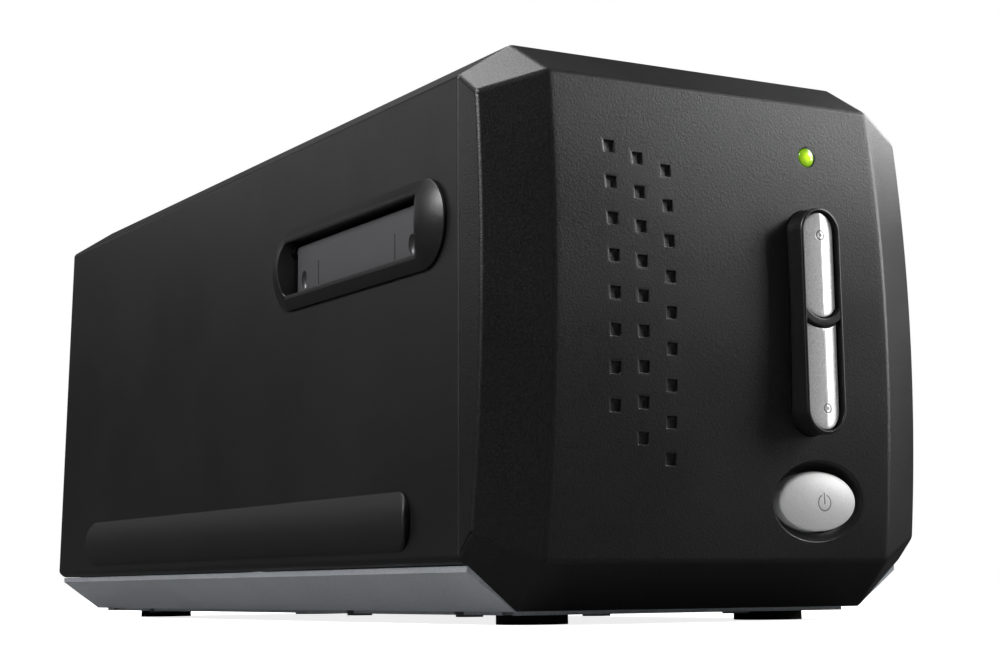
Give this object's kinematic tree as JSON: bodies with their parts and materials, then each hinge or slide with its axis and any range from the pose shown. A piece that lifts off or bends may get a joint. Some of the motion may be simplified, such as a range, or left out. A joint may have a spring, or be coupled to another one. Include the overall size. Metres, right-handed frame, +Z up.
{
  "type": "film negative scanner",
  "caption": "Desktop film negative scanner with a faceted black case, side film slots with sprung dust doors, front scan buttons and a moving optical carriage inside",
  "frame": {"origin": "on the surface the feet stand on, below the centre of the bounding box", "axes": "+Z up, the front with the buttons faces -Y, +X to the right as seen from the front; the film passes along X"},
  "size_m": [0.116, 0.272, 0.119],
  "materials": {
    "case_black": "fine satin texture",
    "bezel_black": "fine grained satin",
    "base_silver": "silver paint, satin",
    "button_silver": "satin silver",
    "foot_rubber": "matte",
    "pad_rubber": "satin, slightly soft",
    "door_grey": "satin",
    "lens_green": "clear green",
    "board_green": "solder mask",
    "switch_plastic": "moulded",
    "inner_plastic": "moulded, matte",
    "diffuser_white": "opal",
    "mirror_glass": "front-silvered",
    "lens_aluminium": "dark anodised",
    "bush_brass": "turned",
    "rod_steel": "ground",
    "sheet_steel": "zinc plated",
    "screw_steel": "zinc plated",
    "port_steel": "tinned"
  },
  "bodies": {
    "housing": {"top_cover": "case_black", "base_chassis": "base_silver", "rear_panel": "case_black", "front_bezel": "bezel_black", "rubber_feet": "foot_rubber", "cover_screws": "screw_steel", "chassis_screws": "screw_steel", "bezel_screws": "screw_steel", "button_surround": "bezel_black", "led_lens": "lens_green", "button_board": "board_green", "button_board_screws": "screw_steel", "key_switches": "switch_plastic", "indicator_led": "lens_green", "right_slot_frame": "bezel_black", "left_slot_frame": "bezel_black", "right_door_spring": "screw_steel", "left_door_spring": "screw_steel", "right_side_pad": "pad_rubber", "left_side_pad": "pad_rubber", "optical_deck": "inner_plastic", "film_guide_lower": "inner_plastic", "film_guide_upper": "inner_plastic", "guide_screws": "screw_steel", "lamp_housing": "inner_plastic", "diffuser": "diffuser_white", "lamp_board": "board_green", "guide_rods": "rod_steel", "front_rod_bracket": "inner_plastic", "rear_bulkhead": "sheet_steel", "screw_bearing": "inner_plastic", "stepper_motor": "sheet_steel", "motor_screws": "screw_steel", "home_sensor": "switch_plastic", "main_board": "board_green", "main_board_screws": "screw_steel", "usb_port": "port_steel", "power_jack": "switch_plastic"},
    "left_door": {"left_dust_door": "door_grey"},
    "right_door": {"right_dust_door": "door_grey"},
    "upper_scan_key": {"upper_scan_button": "button_silver"},
    "lower_scan_key": {"lower_scan_button": "button_silver"},
    "power_key": {"power_button": "button_silver"},
    "carriage": {"optical_carriage": "inner_plastic", "carriage_cover": "inner_plastic", "folding_mirror": "mirror_glass", "lens_barrel": "lens_aluminium", "sensor_board": "board_green", "carriage_bushes": "bush_brass", "drive_nut": "bush_brass"},
    "drive_shaft": {"lead_screw": "rod_steel"}
  },
  "joints": [
    {"name": "left_door_hinge", "type": "hinge", "parent": "housing", "child": "left_door", "pos_m": [-0.0542, -0.0681, 0.086], "axis": [0, 1, 0], "range_deg": [0, 80], "stiffness_Nm_per_rad": 0.0003},
    {"name": "right_door_hinge", "type": "hinge", "parent": "housing", "child": "right_door", "pos_m": [0.0542, -0.0681, 0.086], "axis": [0, 1, 0], "range_deg": [0, 80], "stiffness_Nm_per_rad": 0.0003},
    {"name": "upper_scan_press", "type": "slide", "parent": "housing", "child": "upper_scan_key", "axis": [0, 1, 0], "range_m": [0, 0.0008], "stiffness_N_per_m": 400},
    {"name": "lower_scan_press", "type": "slide", "parent": "housing", "child": "lower_scan_key", "axis": [0, 1, 0], "range_m": [0, 0.0008], "stiffness_N_per_m": 400},
    {"name": "power_press", "type": "slide", "parent": "housing", "child": "power_key", "axis": [0, 1, 0], "range_m": [0, 0.0008], "stiffness_N_per_m": 400},
    {"name": "carriage_travel", "type": "slide", "parent": "housing", "child": "carriage", "axis": [0, -1, 0], "range_m": [0, 0.034]},
    {"name": "lead_screw_turn", "type": "hinge", "parent": "housing", "child": "drive_shaft", "pos_m": [0.038, 0.04, 0.046], "axis": [0, 1, 0], "range_deg": [0, 1021]}
  ],
  "couplings": [
    {"joint": "lead_screw_turn", "follows": "carriage_travel", "rad_per_m": 523.6}
  ]
}
